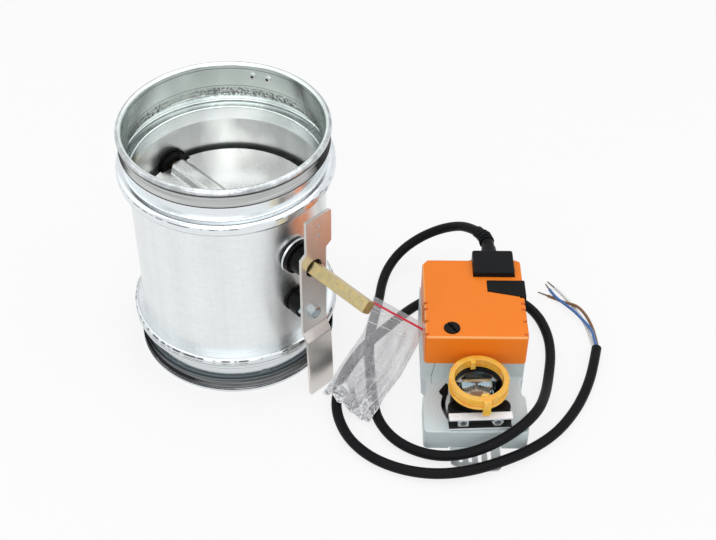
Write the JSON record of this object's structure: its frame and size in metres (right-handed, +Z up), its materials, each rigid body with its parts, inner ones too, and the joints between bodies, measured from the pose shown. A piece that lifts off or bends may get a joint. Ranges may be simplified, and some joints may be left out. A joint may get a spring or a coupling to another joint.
{
  "type": "motorized round air damper",
  "caption": "Round duct damper with a gasketed turning blade on a square shaft, a mounting plate, and its rotary clamp-on actuator with cable standing beside it.",
  "frame": {"origin": "on the duct's axis at its lower end", "axes": "+Z up the duct, +X out along the blade's shaft to the mounting plate's side"},
  "size_m": [0.2895, 0.2531, 0.1726],
  "materials": {
    "galvanized_sheet": "spangled zinc coat",
    "collar_sheet": "bright zinc coat, pressed",
    "rivet_steel": "plated",
    "seal_rubber": "satin",
    "gasket_rubber": "matte",
    "bearing_plastic": "moulded",
    "snap_ring_steel": "bright",
    "blade_sheet": "satin zinc coat",
    "gold_passivated": "yellow passivated steel",
    "bracket_sheet": "satin zinc coat",
    "zinc_hardware": "bright zinc",
    "housing_grey": "fine moulded grain",
    "cover_orange": "fine moulded grain",
    "trim_black": "moulded",
    "plug_black": "moulded",
    "gear_steel": "cut",
    "gear_nylon": "natural nylon",
    "motor_can": "drawn can",
    "board_green": "lacquered",
    "component_black": "moulded",
    "insert_beige": "satin",
    "clamp_chrome": "polished",
    "ring_amber": "translucent",
    "cable_jacket": "matte jacket",
    "wire_blue": "insulation",
    "wire_brown": "insulation",
    "wire_white": "insulation",
    "bare_copper": "bare strands",
    "bag_film": "clear film, red closure line"
  },
  "bodies": {
    "root": {"duct_body": "galvanized_sheet", "upper_collar": "collar_sheet", "lower_collar": "collar_sheet", "collar_rivets": "rivet_steel", "upper_seal": "seal_rubber", "lower_seal": "seal_rubber", "far_bearing_boss": "bearing_plastic", "near_bearing_boss": "bearing_plastic", "bearing_snap_ring": "snap_ring_steel", "bracket_plate": "bracket_sheet", "bracket_standoff": "bearing_plastic", "bracket_nut": "zinc_hardware", "bracket_bolt": "zinc_hardware", "base_housing": "housing_grey", "base_floor": "housing_grey", "foot_screws": "zinc_hardware", "top_cover": "cover_orange", "motor_body": "motor_can", "gear_plate": "gear_steel", "gear_arbors": "gear_steel", "circuit_board": "board_green", "board_components": "component_black", "plug_housing": "plug_black", "strain_relief": "plug_black", "anti_rotation_strap": "zinc_hardware", "cable": "cable_jacket", "wire_blue": "wire_blue", "wire_brown": "wire_brown", "wire_white": "wire_white", "bare_cores": "bare_copper", "zip_bag": "bag_film"},
    "blade": {"blade_upper_skin": "blade_sheet", "blade_lower_skin": "blade_sheet", "blade_gasket": "gasket_rubber", "drive_shaft": "gold_passivated", "idle_pivot": "gold_passivated", "shaft_bush": "bearing_plastic"},
    "hub": {"output_hub": "trim_black", "hub_gear": "gear_steel", "shaft_insert": "insert_beige", "toothed_jaw": "zinc_hardware", "clamp_bolt": "zinc_hardware", "clamp_channel": "clamp_chrome", "clamp_nuts": "zinc_hardware"},
    "indicator": {"indicator_ring": "ring_amber"},
    "end_stop": {"end_stop": "trim_black"},
    "first_gear": {"first_gear": "gear_nylon"},
    "second_gear": {"second_gear": "gear_nylon"},
    "motor_pinion": {"motor_pinion": "gear_steel"},
    "direction_knob": {"direction_knob": "trim_black"},
    "release_button": {"release_button": "trim_black"}
  },
  "joints": [
    {"name": "blade_turn", "type": "hinge", "parent": "root", "child": "blade", "pos_m": [0, 0, 0.1045], "axis": [1, 0, 0], "range_deg": [0, 90]},
    {"name": "hub_turn", "type": "hinge", "parent": "root", "child": "hub", "pos_m": [0.17386, 0.05123, 0.02], "axis": [0, 0, -1], "range_deg": [0, 95]},
    {"name": "indicator_turn", "type": "hinge", "parent": "hub", "child": "indicator", "pos_m": [0.17386, 0.05123, 0.038], "axis": [0, 0, 1], "range_deg": [-60, 60]},
    {"name": "end_stop_turn", "type": "hinge", "parent": "root", "child": "end_stop", "pos_m": [0.17386, 0.05123, 0.015], "axis": [0, 0, 1], "range_deg": [0, 45]},
    {"name": "first_gear_turn", "type": "hinge", "parent": "root", "child": "first_gear", "pos_m": [0.15244, 0.07224, 0.008], "axis": [0, 0, -1], "range_deg": [-400, 10]},
    {"name": "second_gear_turn", "type": "hinge", "parent": "root", "child": "second_gear", "pos_m": [0.14943, 0.09201, 0.012], "axis": [0, 0, -1], "range_deg": [-10, 900]},
    {"name": "motor_turn", "type": "hinge", "parent": "root", "child": "motor_pinion", "pos_m": [0.12861, 0.09478, 0.015], "axis": [0, 0, -1], "range_deg": [-2860, 10]},
    {"name": "direction_turn", "type": "hinge", "parent": "root", "child": "direction_knob", "pos_m": [0.1406, 0.06117, 0.0542], "axis": [0, 0, 1], "range_deg": [0, 90]},
    {"name": "button_press", "type": "slide", "parent": "root", "child": "release_button", "axis": [0, 0, -1], "range_m": [0, 0.0025], "stiffness_N_per_m": 400, "springref_m": -0.001}
  ],
  "couplings": [
    {"joint": "first_gear_turn", "follows": "hub_turn", "ratio": -4},
    {"joint": "second_gear_turn", "follows": "hub_turn", "ratio": 9.3333},
    {"joint": "motor_turn", "follows": "hub_turn", "ratio": -29.867}
  ]
}
